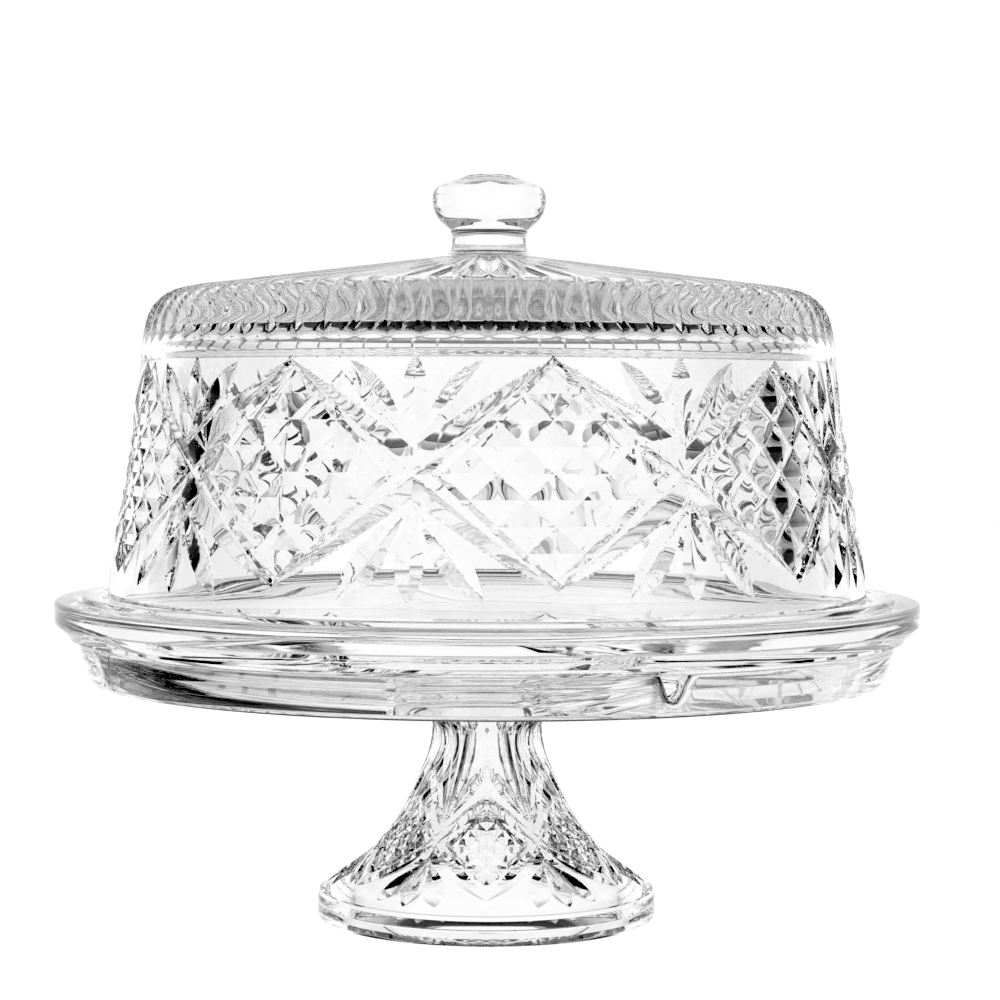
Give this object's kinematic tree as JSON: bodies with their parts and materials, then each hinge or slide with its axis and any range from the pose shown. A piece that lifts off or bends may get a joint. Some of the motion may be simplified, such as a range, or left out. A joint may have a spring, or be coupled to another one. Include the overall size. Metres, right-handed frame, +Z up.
{
  "type": "cake stand with dome cover",
  "caption": "Clear pressed-glass cake stand in three loose pieces: pedestal, skirted plate with dividers underneath, and a fluted and diamond-cut dome cover with a knob.",
  "frame": {"origin": "on the axis, at the table plane under the pedestal foot", "axes": "+Z up along the axis of the stand, towards the knob; -Y is the front; +X is to the right seen from the front"},
  "size_m": [0.3048, 0.3048, 0.2638],
  "materials": {
    "clear_glass": "polished colourless pressed glass"
  },
  "bodies": {
    "base": {"pedestal": "clear_glass"},
    "plate": {"cake_plate": "clear_glass"},
    "dome": {"dome_shell": "clear_glass", "dome_knob": "clear_glass"}
  },
  "joints": [
    {"name": "plate_lift", "type": "slide", "parent": "base", "child": "plate", "axis": [0, 0, 1], "range_m": [0, 0.04]},
    {"name": "dome_lift", "type": "slide", "parent": "plate", "child": "dome", "axis": [0, 0, 1], "range_m": [0, 0.15]}
  ]
}
